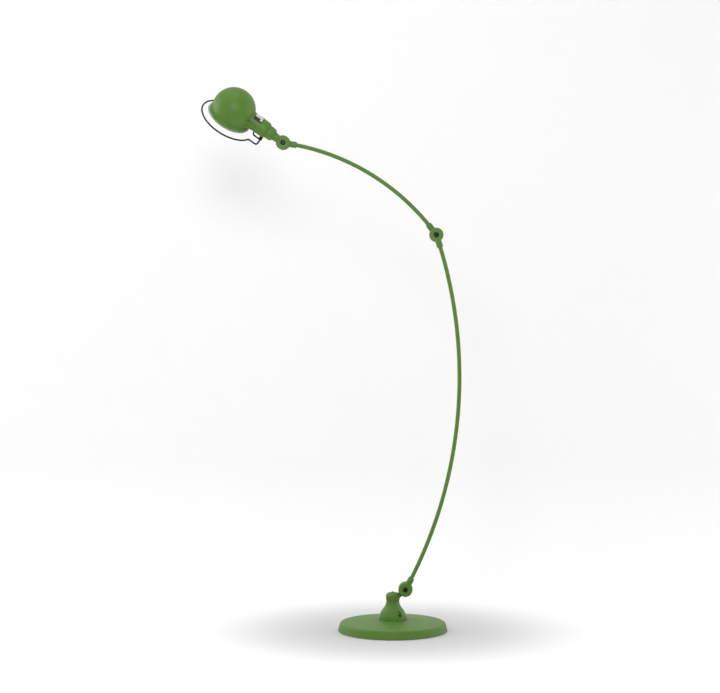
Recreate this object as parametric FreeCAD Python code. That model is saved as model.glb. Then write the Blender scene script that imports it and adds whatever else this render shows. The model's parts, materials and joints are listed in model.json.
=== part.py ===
"""Adjustable arm floor lamp: round cast base, swivelling turret, two bowed tube arms and a
small spherical work-lamp head with a wire guard.

Row frame, in millimetres: the origin is on the floor under the middle of the base, +Z is up,
the arms lie in the XZ plane and the head reaches towards -X.  "Near" pieces are on the -Y side
of the arms' plane and "far" pieces on the +Y side.
"""

import FreeCAD, Part
import math
import os

V = FreeCAD.Vector

# ---------------------------------------------------------------- driving dimensions
# Base
BASE_RADIUS = 123.3           # casting at its lower edge
BASE_SKIRT_LEAN = 3.7         # how far the skirt leans in up to the shoulder
BASE_SKIRT_TOP = 15.5         # height where the skirt meets the round shoulder
BASE_SHOULDER = 7.0           # how far the round shoulder runs in
BASE_DOME_START = 19.6        # height where the shallow dome begins
SEAT_HEIGHT = 26.0            # flat seat for the bell, above the floor
PAD_RADIUS = 118.0
PAD_THICKNESS = 2.0
PAD_RECESS = 1.0              # how deep the pad sits in the underside
NUT_POCKET_RADIUS = 18.0
NUT_POCKET_TOP = 13.0
INLET_RADIUS = 3.4            # bore of the cable grommet
GROMMET_RADIUS = 5.6
GROMMET_LENGTH = 14.0
INLET_HEIGHT = 9.0

# Bell foot
BELL_FOOT_RADIUS = 31.0
BELL_NECK_RADIUS = 14.6
BELL_HEIGHT = 69.5            # top of the bell, above the floor
BELL_NECK_CURVE = 28.0        # radius of the hollow curve under the neck
BELL_WALL = 3.0
FLUTE_RADIUS = 4.2
FLUTE_DISTANCE = 27.6         # from the lamp's axis to a flute's axis
FLUTE_FLOOR = 36.0
FLUTE_ANGLES = (-53.5, 126.5)
BELL_SCREW_HEAD = 2.5
BELL_SCREW_RADIUS = 1.5

# Turret
SPINDLE_RADIUS = 5.0
JOURNAL_RADIUS = 4.5
TURRET_RADIUS = 15.5
TURRET_TOP = 87.0
TURRET_SHOULDER = 8.0
TURRET_WALL = 2.8
TURRET_SEAM = 0.7             # thickness of the turret's friction washer
LINK_RADIUS = 5.8             # stub from the turret to the foot joint
CAP_SCREW_RADIUS = 1.5
CAP_SCREW_HEAD = 2.4

# Tilting joints
HUB_RADIUS = 16.0
HUB_THICKNESS = 12.8          # of one half
HUB_EDGE = 2.6
HUB_SEAM = 0.8                # friction washer between two halves
CONTACT_RADIUS = 11.3
CONTACT_DEPTH = 5.0
BOLT_RADIUS = 3.0
BOLT_HEAD_RADIUS = 5.35
BOLT_RECESS = 2.2
NUT_ACROSS = 10.0
NUT_DEPTH = 4.6
STUB_RADIUS = 7.0
STUB_REACH = 30.0             # from the joint's axis to the stub's mouth

# Arms
TUBE_RADIUS = 4.5
TUBE_BORE = 3.25
TUBE_START = 17.0             # from the joint's axis to the tube's end
GRUB_RADIUS = 2.0
GRUB_LENGTH = 2.5
GRUB_PLACE = 23.0             # from the joint's axis
WIRE_RADIUS = 1.0
WIRE_OFFSET = 1.2
FOOT_JOINT = (HUB_RADIUS + 12.6, HUB_RADIUS + 78.5)     # x and z of its axis
LOWER_LENGTH = 800.0          # between joint axes
LOWER_CURVE = 1005.0
LOWER_ANGLE = 85.1            # of the chord, from +X
UPPER_LENGTH = 400.0
UPPER_CURVE = 512.0
UPPER_ANGLE = 149.0

# Head
NECK_ANGLE = 144.0            # of the head's axis, from +X
HEAD_SWIVEL = 31.0            # about the head's axis, as it stands
NECK_START_RADIUS = 5.0
NECK_RADIUS = 9.0
NECK_END_RADIUS = 9.7
COLLAR_START = 24.2           # distances along the head's axis are from the head joint
COLLAR_RADIUS = 15.6
COLLAR_END = 42.2
HEAD_SEAM = 0.7
BODY_SHOULDER_END = 49.0
BODY_REAR_RADIUS = 15.4
BODY_RADIUS = 18.8
BODY_FRONT_RADIUS = 19.4
BODY_WALL = 2.4
BODY_REAR_WALL = 4.0
SWIVEL_TUBE_RADIUS = 5.0
SWIVEL_TUBE_BORE = 3.4
SWIVEL_TUBE_START = 27.0
SWIVEL_TUBE_END = 57.0
SWIVEL_NUT_ACROSS = 14.0
SWIVEL_NUT_DEPTH = 5.0

# Shade and guard
SHADE_RADIUS = 49.0
SHADE_WALL = 1.5
SHADE_START = 84.0            # back of the sphere
SHADE_DISTANCE = SHADE_START + SHADE_RADIUS
SHADE_DROP = 4.5              # of the sphere's centre below the head's axis
LIP_START = 15.0              # below the sphere's centre
LIP_RADIUS = SHADE_RADIUS + 1.7
LIP_DEPTH = 24.0
BEAD_RADIUS = 1.3
GUARD_RADIUS = SHADE_RADIUS + 16.0
GUARD_DISTANCE = SHADE_DISTANCE - 1.8
GUARD_DROP = 37.3             # of the guard's plane below the head's axis
GUARD_WIRE = 1.9
GUARD_LEGS = 14.0             # half the distance between its two legs
GUARD_HEEL = 45.5             # where the legs turn up to the clip
CLIP_DROP = 24.5
CLIP_DEPTH = 5.0
CLIP_REAR = GUARD_HEEL - 1.9
CLIP_FRONT = GUARD_HEEL + 5.4
CLIP_WIDTH = 8.4
CLIP_COVER = 2.2              # below the ends of the wire
CLIP_TOP = 12.0
WIRE_HEEL = GUARD_HEEL + 0.6
WIRE_END = 2.4                # from the middle of the clip to each end of the wire

# Lampholder, bulb and switch
HOLDER_RADIUS = 12.6
HOLDER_START = 56.0
HOLDER_END = 110.0
HOLDER_BORE = 7.6
BULB_CAP_RADIUS = 6.9
BULB_RADIUS = 22.5
BULB_DISTANCE = 141.0
GLASS_WALL = 0.9
SWITCH_START = 62.9
SWITCH_END = 83.7
SWITCH_HALF_WIDTH = 13.8
SWITCH_FLOOR = 13.4
ROCKER_HALF_WIDTH = 6.0
ROCKER_WING = 10.6
ROCKER_TIP = 4.0              # degrees, each way from level

# Clearances
RUNNING = 0.05                # radial, turning fits
SLIP = 0.1                    # radial, assembled fits
GAP = 0.3                     # between parts that do not touch

# ---------------------------------------------------------------- worked-out places
HUB_MIDDLE = HUB_SEAM / 2 + HUB_THICKNESS / 2
HUB_FACE = HUB_SEAM / 2 + HUB_THICKNESS
NEAR, FAR = -1, 1
X_AXIS, Y_AXIS, Z_AXIS = V(1, 0, 0), V(0, 1, 0), V(0, 0, 1)
ORIGIN = V(0, 0, 0)

GRUB_TIP = V(GRUB_PLACE, 0, -TUBE_RADIUS - GAP / 2)

pieces = {}


def piece(name, *solids):
    """Keep one named sub-part: a solid, or a group of separate solids."""
    pieces[name] = solids[0] if len(solids) == 1 else Part.makeCompound(list(solids))


# ---------------------------------------------------------------- shape helpers
def heading(degrees):
    """Unit vector in the arms' plane, at an angle from +X towards +Z."""
    turn = math.radians(degrees)
    return V(math.cos(turn), 0, math.sin(turn))


def rod(radius, start, end):
    return Part.makeCylinder(radius, (end - start).Length, start, end - start)


def sleeve(outer, inner, start, end):
    overrun = (end - start).normalize()
    return rod(outer, start, end).cut(rod(inner, start - overrun, end + overrun))


def box(low, high):
    size = high - low
    return Part.makeBox(size.x, size.y, size.z, low)


def upright(radius, height):
    """Section point for a piece turned about the lamp's axis."""
    return V(radius, 0, height)


def lengthways(distance, radius):
    """Section point for a piece turned about the head's axis."""
    return V(distance, 0, radius)


def crossways(radius, depth):
    """Section point for a piece turned about a tilting joint's axis."""
    return V(radius, depth, 0)


def outline(place, start, *moves):
    """Closed wire. A move holds one point for a straight stretch, or two for an arc."""
    here = place(*start)
    first = here
    edges = []
    for move in moves:
        points = [place(*point) for point in move]
        if len(points) == 2:
            edges.append(Part.Arc(here, points[0], points[1]).toShape())
        else:
            edges.append(Part.makeLine(here, points[0]))
        here = points[-1]
    if here.distanceToPoint(first) > 1e-6:
        edges.append(Part.makeLine(here, first))
    return Part.Wire(edges)


def turned(axis, wire, centre=ORIGIN):
    return Part.Face(wire).revolve(centre, axis, 360)


def prism(wire, travel):
    return Part.Face(wire).extrude(travel)


def hexagon(across, start, direction, depth):
    """Hexagonal prism, measured across its flats."""
    placement = FreeCAD.Placement(start, FreeCAD.Rotation(Z_AXIS, direction))
    corner = across / math.sqrt(3)
    points = []
    for step in range(7):
        angle = math.radians(60 * step)
        points.append(V(corner * math.cos(angle), corner * math.sin(angle), 0))
    solid = Part.Face(Part.makePolygon(points)).extrude(V(0, 0, depth))
    solid.Placement = placement
    return solid


def swing(shape, centre, degrees):
    """Turn a joint-sized shape, made along +X at the origin, to a heading at a joint."""
    moved = shape.copy()
    moved.rotate(ORIGIN, Y_AXIS, -degrees)
    moved.translate(centre)
    return moved


def rounded_corner(before, corner, after, radius):
    """Start, middle and end of the arc that rounds a corner between two straight runs."""
    back = (before - corner).normalize()
    on = (after - corner).normalize()
    half = back.getAngle(on) / 2
    reach = radius / math.tan(half)
    centre = corner + (back + on).normalize() * (radius / math.sin(half))
    middle = centre + (corner - centre).normalize() * radius
    return corner + back * reach, middle, corner + on * reach


def swept(edges, radius):
    """Round bar along a smooth chain of lines and arcs."""
    path = Part.Wire(edges)
    first = edges[0]
    start = first.valueAt(first.FirstParameter)
    tangent = first.tangentAt(first.FirstParameter)
    ring = Part.Wire(Part.makeCircle(radius, start, tangent))
    return path.makePipeShell([ring], True, False)


def bent_wire(points, bend, radius):
    """Round bar through points, every corner rounded by the same bend."""
    edges = []
    here = points[0]
    for before, corner, after in zip(points, points[1:], points[2:]):
        start, middle, end = rounded_corner(before, corner, after, bend)
        edges.append(Part.makeLine(here, start))
        edges.append(Part.Arc(start, middle, end).toShape())
        here = end
    edges.append(Part.makeLine(here, points[-1]))
    return swept(edges, radius)


# ---------------------------------------------------------------- arms' geometry
class Bow:
    """A bowed arm: an arc of a circle between two joint axes, bulging to its right."""

    def __init__(self, start, length, curve, angle, side):
        self.start = start
        self.curve = curve
        self.side = side
        self.half_turn = math.asin(length / 2 / curve)
        self.angle = angle
        self.end = start + heading(angle) * length
        middle = (start + self.end) * 0.5
        rise = curve * math.cos(self.half_turn)
        self.centre = middle + heading(angle + 90) * rise

    def turn_at(self, distance):
        """Angle along the arc, in degrees, at a straight distance from the start."""
        return math.degrees(2 * math.asin(distance / 2 / self.curve))

    def heading_out(self, distance):
        """Heading from the start joint to the arc's point at a distance from it."""
        return self.angle - math.degrees(self.half_turn) + self.turn_at(distance) / 2

    def heading_back(self, distance):
        """Heading from the end joint to the arc's point at a distance from it."""
        return self.angle + 180 + math.degrees(self.half_turn) - self.turn_at(distance) / 2

    def run(self, radius, inset, offset=0.0):
        """Solid round bar along the arc, starting and ending short of the joint axes."""
        skipped = self.turn_at(inset)
        whole = 2 * math.degrees(self.half_turn)
        outward = (self.start - self.centre).normalize()
        place = self.centre + outward * (self.curve + offset)
        place = place + V(0, self.side * HUB_MIDDLE, 0)
        along = Y_AXIS.cross(outward) * -1
        face = Part.Face(Part.Wire(Part.makeCircle(radius, place, along)))
        face.rotate(self.centre, Y_AXIS, -skipped)
        return face.revolve(self.centre, Y_AXIS * -1, whole - 2 * skipped)


foot_centre = V(FOOT_JOINT[0], 0, FOOT_JOINT[1])
lower_arm = Bow(foot_centre, LOWER_LENGTH, LOWER_CURVE, LOWER_ANGLE, NEAR)
elbow_centre = lower_arm.end
upper_arm = Bow(elbow_centre, UPPER_LENGTH, UPPER_CURVE, UPPER_ANGLE, FAR)
head_centre = upper_arm.end


# ---------------------------------------------------------------- tilting joints
def hub_disc(side):
    """Half-disc hub with a rounded outer edge, about the joint's axis at the origin."""
    inner = side * HUB_SEAM / 2
    outer = side * HUB_FACE
    shoulder = outer - side * HUB_EDGE
    diagonal = HUB_EDGE * (1 - math.sqrt(0.5))
    rounding = ((HUB_RADIUS - diagonal, outer - side * diagonal), (HUB_RADIUS - HUB_EDGE, outer))
    wire = outline(crossways, (0, inner), ((HUB_RADIUS, inner),), ((HUB_RADIUS, shoulder),),
                   rounding, ((0, outer),))
    return turned(Y_AXIS, wire)


def hub_hollows(side, wire_way_end=STUB_REACH):
    """What is cut from a hub: bolt hole, contact pocket, head or nut recess and wire way."""
    inner = V(0, side * HUB_SEAM / 2, 0)
    outer = V(0, side * HUB_FACE, 0)
    step = V(0, side, 0)
    bolt_hole = rod(BOLT_RADIUS + RUNNING, inner - step, outer + step)
    pocket = rod(CONTACT_RADIUS + SLIP, inner - step, inner + step * CONTACT_DEPTH)
    if side == NEAR:
        recess = rod(BOLT_HEAD_RADIUS + 1.2, outer - step * BOLT_RECESS, outer + step * 2)
    else:
        corner = NUT_ACROSS / math.sqrt(3) + GAP
        recess = rod(corner, outer - step * NUT_DEPTH, outer + step * 2)
    middle = V(0, side * HUB_MIDDLE, 0)
    wire_way = rod(TUBE_BORE, middle + X_AXIS * 7.2, middle + X_AXIS * wire_way_end)
    return bolt_hole.fuse([pocket, recess, wire_way])


def other_half_room(side):
    """Room that the joint's other half turns in."""
    clear = HUB_RADIUS + 2 * GAP
    return rod(clear, V(0, side * HUB_SEAM / 2, 0), V(0, -side * 3 * HUB_FACE, 0))


def arm_end(bow, centre, degrees):
    """Hub with the stub that takes an arm's tube."""
    side = bow.side
    middle = side * HUB_MIDDLE
    mouth_bevel = 1.0
    wire = Part.makePolygon([
        V(0, middle, 0),
        V(0, middle, STUB_RADIUS),
        V(STUB_REACH - mouth_bevel, middle, STUB_RADIUS),
        V(STUB_REACH, middle, STUB_RADIUS - mouth_bevel),
        V(STUB_REACH, middle, 0),
        V(0, middle, 0),
    ])
    stub = turned(X_AXIS, wire, V(0, middle, 0))
    reach = 2 * STUB_REACH
    beyond_seam = box(V(-reach, -reach, -reach), V(reach, 0, reach))
    if side == NEAR:
        beyond_seam = box(V(-reach, 0, -reach), V(reach, reach, reach))
    beyond_seam.translate(V(0, side * HUB_SEAM / 2, 0))
    body = hub_disc(side).fuse(stub).cut(beyond_seam)
    grub = rod(GRUB_RADIUS + RUNNING, GRUB_TIP + V(0, middle, 0), GRUB_TIP + V(0, middle, -10))
    body = body.cut(hub_hollows(side, TUBE_START + 1)).cut(grub)
    body = swing(body, centre, degrees)
    return body.cut(bow.run(TUBE_RADIUS + SLIP / 2, TUBE_START - GAP)).removeSplitter()


def grub_screw(side, centre, degrees):
    """Headless screw that clamps the tube in its stub."""
    tip = V(GRUB_TIP.x, side * HUB_MIDDLE, GRUB_TIP.z)
    end = tip + V(0, 0, -GRUB_LENGTH)
    screw = rod(GRUB_RADIUS, tip, end)
    screw = screw.cut(hexagon(2.0, end + V(0, 0, 1.4), V(0, 0, -1), 2))
    return swing(screw, centre, degrees)


def joint_hardware(centre):
    """Bolt, nut, washer, contact disc, contact rings and brush plate of one joint."""
    head_seat = -HUB_FACE + BOLT_RECESS
    head_height = 2.9
    crown = head_seat - head_height
    head = turned(Y_AXIS, outline(
        crossways, (0, head_seat), ((BOLT_HEAD_RADIUS, head_seat),),
        ((BOLT_HEAD_RADIUS, head_seat - 0.9),),
        ((BOLT_HEAD_RADIUS * 0.82, crown + 0.45), (BOLT_HEAD_RADIUS * 0.5, crown)),
        ((0, crown),)))
    nut_seat = HUB_FACE - NUT_DEPTH
    shank = rod(BOLT_RADIUS, V(0, head_seat, 0), V(0, HUB_FACE - 0.2, 0))
    bolt = head.fuse(shank).cut(hexagon(4.0, V(0, crown + 1.7, 0), V(0, -1, 0), 3))
    nut = hexagon(NUT_ACROSS, V(0, nut_seat, 0), Y_AXIS, NUT_DEPTH - 0.4)
    nut = nut.cut(rod(BOLT_RADIUS + RUNNING, V(0, nut_seat - 1, 0), V(0, HUB_FACE + 1, 0)))
    washer = sleeve(HUB_RADIUS - 0.9, CONTACT_RADIUS + 1.0,
                    V(0, -HUB_SEAM / 2, 0), V(0, HUB_SEAM / 2, 0))
    back = HUB_SEAM / 2 + CONTACT_DEPTH
    ring_face = back - 3.4
    ring_height = 0.6
    disc = sleeve(CONTACT_RADIUS, BOLT_RADIUS + 0.5, V(0, -back, 0), V(0, -ring_face, 0))
    rings = []
    plate = sleeve(CONTACT_RADIUS, BOLT_RADIUS + 0.5, V(0, ring_face, 0), V(0, back, 0))
    for inner in (5.0, 8.5):
        width = 1.5
        middle = inner + width / 2
        top = ring_height - ring_face
        rings.append(sleeve(inner + width, inner, V(0, -ring_face, 0), V(0, top, 0)))
        for turn in (40, 220):
            place = heading(turn) * middle
            brush = rod(0.6, place + Y_AXIS * (top + GAP), place + Y_AXIS * (ring_face + 1))
            plate = plate.fuse(brush)
    found = {"bolt": [bolt], "nut": [nut], "washer": [washer], "contact_disc": [disc],
             "contact_rings": rings, "brush_plate": [plate]}
    return {name: [swing(solid, centre, 0) for solid in solids] for name, solids in found.items()}


def make_joints():
    for joint, centre in (("foot", foot_centre), ("elbow", elbow_centre), ("head", head_centre)):
        for name, solids in joint_hardware(centre).items():
            piece(f"{joint}_{name}", *solids)


# ---------------------------------------------------------------- base
def make_base():
    underside = PAD_RECESS
    pad_seat = PAD_THICKNESS
    shoulder_start = BASE_RADIUS - BASE_SKIRT_LEAN
    shoulder_end = shoulder_start - BASE_SHOULDER
    shoulder_middle = (shoulder_start - 0.22 * BASE_SHOULDER,
                       BASE_SKIRT_TOP + 0.7 * (BASE_DOME_START - BASE_SKIRT_TOP))
    dome_middle_radius = (shoulder_end + BELL_FOOT_RADIUS) / 2
    dome_rise = SEAT_HEIGHT - BASE_DOME_START
    dome_middle = (dome_middle_radius, BASE_DOME_START + 0.62 * dome_rise)
    seat_edge = BELL_FOOT_RADIUS + 1.5
    wire = outline(
        upright, (0, pad_seat), ((PAD_RADIUS + GAP, pad_seat),), ((PAD_RADIUS + GAP, underside),),
        ((BASE_RADIUS - 0.8, underside),),
        ((BASE_RADIUS - 0.24, underside + 0.24), (BASE_RADIUS, underside + 0.8)),
        ((shoulder_start, BASE_SKIRT_TOP),),
        (shoulder_middle, (shoulder_end, BASE_DOME_START)),
        (dome_middle, (seat_edge, SEAT_HEIGHT)),
        ((0, SEAT_HEIGHT),))
    plate = turned(Z_AXIS, wire)
    pocket = rod(NUT_POCKET_RADIUS, V(0, 0, 0), V(0, 0, NUT_POCKET_TOP))
    cable_way = rod(INLET_RADIUS + 0.6, V(0, 0, INLET_HEIGHT), V(0, BASE_RADIUS, INLET_HEIGHT))
    grommet_start = V(0, BASE_RADIUS - GROMMET_LENGTH, INLET_HEIGHT)
    grommet_hole = rod(GROMMET_RADIUS, grommet_start, V(0, BASE_RADIUS + 5, INLET_HEIGHT))
    wire_hole = rod(4.0, V(0, 12, NUT_POCKET_TOP - 1), V(0, 12, SEAT_HEIGHT + 1))
    spindle_hole = rod(SPINDLE_RADIUS + SLIP, V(0, 0, 0), V(0, 0, SEAT_HEIGHT + 1))
    for cutter in (pocket, cable_way, grommet_hole, wire_hole, spindle_hole, *screw_rods(SLIP)):
        plate = plate.cut(cutter)
    piece("base_plate", plate)
    piece("floor_pad", rod(PAD_RADIUS, ORIGIN, V(0, 0, PAD_THICKNESS)))

    flange_start = V(0, BASE_RADIUS + SLIP, INLET_HEIGHT)
    flange_end = flange_start + Y_AXIS * 1.8
    barrel = rod(GROMMET_RADIUS - SLIP, grommet_start, flange_end)
    flange = rod(GROMMET_RADIUS + 1.2, flange_start, flange_end)
    bore = rod(INLET_RADIUS, grommet_start - Y_AXIS, flange_end + Y_AXIS)
    piece("cable_grommet", barrel.fuse(flange).cut(bore))


def flute_places():
    for degrees in FLUTE_ANGLES:
        turn = math.radians(degrees)
        yield V(FLUTE_DISTANCE * math.cos(turn), FLUTE_DISTANCE * math.sin(turn), 0)


def screw_rods(clearance):
    """Shanks of the two screws that hold the bell, or the holes for them."""
    low = V(0, 0, SEAT_HEIGHT - 14)
    high = V(0, 0, FLUTE_FLOOR)
    return [rod(BELL_SCREW_RADIUS + clearance, place + low, place + high)
            for place in flute_places()]


def bell_outline(inset, low, high):
    """Closed outline of the bell: a round shoulder that runs into a hollow neck."""
    foot = BELL_FOOT_RADIUS
    neck = BELL_NECK_RADIUS
    rise = BELL_HEIGHT - SEAT_HEIGHT
    step = foot - neck
    curves = (step ** 2 + rise ** 2) / (2 * step)
    shoulder_curve = curves - BELL_NECK_CURVE
    shoulder_centre = (foot - shoulder_curve, SEAT_HEIGHT)
    neck_centre = (neck + BELL_NECK_CURVE, BELL_HEIGHT)
    lean = math.atan2(rise, neck_centre[0] - shoulder_centre[0])

    def on_shoulder(turn):
        reach = shoulder_curve - inset
        return (shoulder_centre[0] + reach * math.cos(turn),
                shoulder_centre[1] + reach * math.sin(turn))

    def on_neck(turn):
        reach = BELL_NECK_CURVE + inset
        return (neck_centre[0] - reach * math.cos(turn), neck_centre[1] - reach * math.sin(turn))

    return outline(
        upright, (0, low), ((foot - inset, low),), (on_shoulder(0),),
        (on_shoulder(lean / 2), on_shoulder(lean)),
        (on_neck(lean / 2), on_neck(0)),
        ((neck - inset, high),), ((0, high),))


def make_bell():
    solid = turned(Z_AXIS, bell_outline(0, SEAT_HEIGHT - 0.001, BELL_HEIGHT + 0.001))
    level = box(V(-50, -50, SEAT_HEIGHT), V(50, 50, BELL_HEIGHT))
    solid = solid.common(level)
    hollow = turned(Z_AXIS, bell_outline(BELL_WALL, SEAT_HEIGHT - 2, BELL_HEIGHT + 2))
    shell = solid.cut(hollow)
    for place in flute_places():
        wall = rod(FLUTE_RADIUS + 2.4, place + V(0, 0, SEAT_HEIGHT), place + V(0, 0, 57))
        shell = shell.fuse(wall.common(solid))
    for place in flute_places():
        shell = shell.cut(rod(FLUTE_RADIUS, place + V(0, 0, FLUTE_FLOOR), place + V(0, 0, 80)))
    for hole in screw_rods(SLIP):
        shell = shell.cut(hole)
    piece("base_bell", shell.removeSplitter())

    screws = []
    for place, shank in zip(flute_places(), screw_rods(0)):
        floor = place + V(0, 0, FLUTE_FLOOR)
        head_top = floor + V(0, 0, 4.2)
        head = rod(BELL_SCREW_HEAD, floor, head_top)
        socket = hexagon(2.2, head_top - V(0, 0, 1.6), Z_AXIS, 3)
        screws.append(head.fuse(shank).cut(socket))
    piece("bell_screws", *screws)


def make_spindle():
    """The post that the turret turns on, its nut, and what is wired beside it."""
    bottom = PAD_THICKNESS + 2.5
    flange_top = SEAT_HEIGHT + 3
    journal_start = BELL_HEIGHT - 1.5
    journal_end = TURRET_TOP - 3.5
    post = rod(SPINDLE_RADIUS, V(0, 0, bottom), V(0, 0, journal_start))
    flange = hexagon(17, V(0, 0, SEAT_HEIGHT), Z_AXIS, flange_top - SEAT_HEIGHT)
    journal = rod(JOURNAL_RADIUS, V(0, 0, journal_start - 1), V(0, 0, journal_end))
    screw_hole = rod(CAP_SCREW_RADIUS + RUNNING, V(0, 0, journal_end - 11), V(0, 0, journal_end + 1))
    piece("swivel_spindle", post.fuse([flange, journal]).cut(screw_hole))
    nut_low = NUT_POCKET_TOP - 6
    nut = hexagon(15, V(0, 0, nut_low), Z_AXIS, 4.5)
    nut = nut.fuse(rod(11, V(0, 0, nut_low + 4.5), V(0, 0, NUT_POCKET_TOP)))
    thread = rod(SPINDLE_RADIUS + RUNNING, V(0, 0, 0), V(0, 0, SEAT_HEIGHT))
    piece("spindle_nut", nut.cut(thread))

    block_low = V(-22, -7, SEAT_HEIGHT)
    block = box(block_low, block_low + V(11, 14, 9))
    for side in (-3.4, 3.4):
        way = rod(1.3, V(-30, side, SEAT_HEIGHT + 4), V(0, side, SEAT_HEIGHT + 4))
        screw_way = rod(1.6, V(-16.5, side, SEAT_HEIGHT + 5), V(-16.5, side, SEAT_HEIGHT + 20))
        block = block.cut(way).cut(screw_way)
    piece("terminal_block", block)

    neck_room = (SPINDLE_RADIUS + BELL_NECK_RADIUS - BELL_WALL) / 2
    wires = []
    for side in (-1, 1):
        across = side * 1.6
        points = [
            V(-16.2, side * 3.4, SEAT_HEIGHT + 4),
            V(-9.6, side * 3.4, SEAT_HEIGHT + 4),
            V(-neck_room - 0.6, across, SEAT_HEIGHT + 22),
            V(-neck_room - 0.6, across, BELL_HEIGHT - 2),
        ]
        wires.append(bent_wire(points, 2.6, WIRE_RADIUS))
    piece("base_wires", *wires)


# ---------------------------------------------------------------- turret
def link_point(share):
    """Point on the turret's stub: 0 inside the turret, 1 at the middle of the far hub."""
    start = V(9, 0, BELL_HEIGHT + 6)
    end = foot_centre + V(0, FAR * HUB_MIDDLE, 0)
    return start + (end - start) * share


def make_turret():
    low = BELL_HEIGHT + TURRET_SEAM
    radius = TURRET_RADIUS
    shoulder = TURRET_SHOULDER
    diagonal = shoulder * (1 - math.sqrt(0.5))
    roof_low = TURRET_TOP - 3.2
    cap = turned(Z_AXIS, outline(
        upright, (0, low), ((radius - 0.6, low),), ((radius, low + 0.6),),
        ((radius, TURRET_TOP - shoulder),),
        ((radius - diagonal, TURRET_TOP - diagonal), (radius - shoulder, TURRET_TOP)),
        ((0, TURRET_TOP),)))
    link = rod(LINK_RADIUS, link_point(0), link_point(1))
    hub = swing(hub_disc(FAR), foot_centre, 0)
    room = swing(other_half_room(FAR), foot_centre, 0)
    body = cap.fuse(link).cut(room).fuse(hub)
    boss_radius = JOURNAL_RADIUS + 3.6
    inner = radius - TURRET_WALL
    hollow_shoulder = shoulder - TURRET_WALL
    hollow_diagonal = hollow_shoulder * (1 - math.sqrt(0.5))
    hollow = turned(Z_AXIS, outline(
        upright, (boss_radius, low - 1), ((inner, low - 1),), ((inner, TURRET_TOP - shoulder),),
        ((inner - hollow_diagonal, roof_low - hollow_diagonal), (inner - hollow_shoulder, roof_low)),
        ((boss_radius, roof_low),)))
    bore = rod(JOURNAL_RADIUS + 1.6, V(0, 0, low - 1), V(0, 0, roof_low))
    screw_hole = rod(CAP_SCREW_RADIUS + SLIP, V(0, 0, roof_low - 1), V(0, 0, TURRET_TOP + 1))
    wire_way = rod(3.0, link_point(0.05), link_point(0.66))
    hollows = swing(hub_hollows(FAR, 8), foot_centre, 225)
    for cutter in (hollow, bore, screw_hole, wire_way, hollows):
        body = body.cut(cutter)
    piece("turret_cap", body.removeSplitter())

    bush_low = V(0, 0, low + 0.4)
    bush_high = V(0, 0, TURRET_TOP - 3.8)
    piece("swivel_bush", sleeve(JOURNAL_RADIUS + 1.6 - RUNNING, JOURNAL_RADIUS + RUNNING,
                                bush_low, bush_high))
    piece("turret_washer", sleeve(BELL_NECK_RADIUS, BELL_NECK_RADIUS - BELL_WALL + 0.4,
                                  V(0, 0, BELL_HEIGHT), V(0, 0, low)))
    crown = TURRET_TOP + 2.2
    head = turned(Z_AXIS, outline(
        upright, (0, TURRET_TOP), ((CAP_SCREW_HEAD, TURRET_TOP),), ((CAP_SCREW_HEAD, TURRET_TOP + 1),),
        ((CAP_SCREW_HEAD * 0.8, crown - 0.4), (CAP_SCREW_HEAD * 0.45, crown)), ((0, crown),)))
    shank = rod(CAP_SCREW_RADIUS, V(0, 0, TURRET_TOP - 13), V(0, 0, TURRET_TOP))
    socket = hexagon(1.6, V(0, 0, crown - 1.2), Z_AXIS, 3)
    piece("cap_screw", head.fuse(shank).cut(socket))

    ring = (boss_radius + inner) / 2
    wires = []
    for side in (-1, 1):
        offset = V(0, side * 1.2, 0)
        points = [V(ring, 0, low + 1) + offset, link_point(0.17) + offset, link_point(0.56) + offset]
        wires.append(bent_wire(points, 2.6, WIRE_RADIUS))
    piece("turret_wires", *wires)


# ---------------------------------------------------------------- arms
def make_arm(name, bow):
    """Tube, two joint ends, grub screws and wires of one bowed arm."""
    out = bow.heading_out(STUB_REACH)
    back = bow.heading_back(STUB_REACH)
    first, last = (("foot", "elbow") if name == "lower" else ("elbow", "head"))
    ends = ((first, bow.start, out), (last, bow.end, back))
    bore = bow.run(TUBE_BORE, TUBE_START - 1)
    piece(f"{name}_tube", bow.run(TUBE_RADIUS, TUBE_START).cut(bore))
    screws = []
    for joint, centre, degrees in ends:
        piece(f"{name}_{joint}_hub", arm_end(bow, centre, degrees))
        screws.append(grub_screw(bow.side, centre, degrees))
    piece(f"{name}_grub_screws", *screws)
    wires = [bow.run(WIRE_RADIUS, 8.0, offset) for offset in (-WIRE_OFFSET, WIRE_OFFSET)]
    piece(f"{name}_wires", *wires)


# ---------------------------------------------------------------- head
def head_placement():
    """Head frame: X along the head's axis, Z away from the shade's mouth."""
    along = heading(NECK_ANGLE)
    upward = heading(NECK_ANGLE - 90)
    turn = math.radians(HEAD_SWIVEL)
    up = upward * math.cos(turn) - Y_AXIS * math.sin(turn)
    side = up.cross(along)
    at = head_centre + V(0, NEAR * HUB_MIDDLE, 0)
    return FreeCAD.Placement(FreeCAD.Matrix(
        along.x, side.x, up.x, at.x,
        along.y, side.y, up.y, at.y,
        along.z, side.z, up.z, at.z,
        0, 0, 0, 1))


def head_piece(name, *solids):
    """Keep a piece that was made in the head frame."""
    matrix = head_placement().toMatrix()
    piece(name, *[solid.transformed(matrix, True) for solid in solids])


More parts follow.
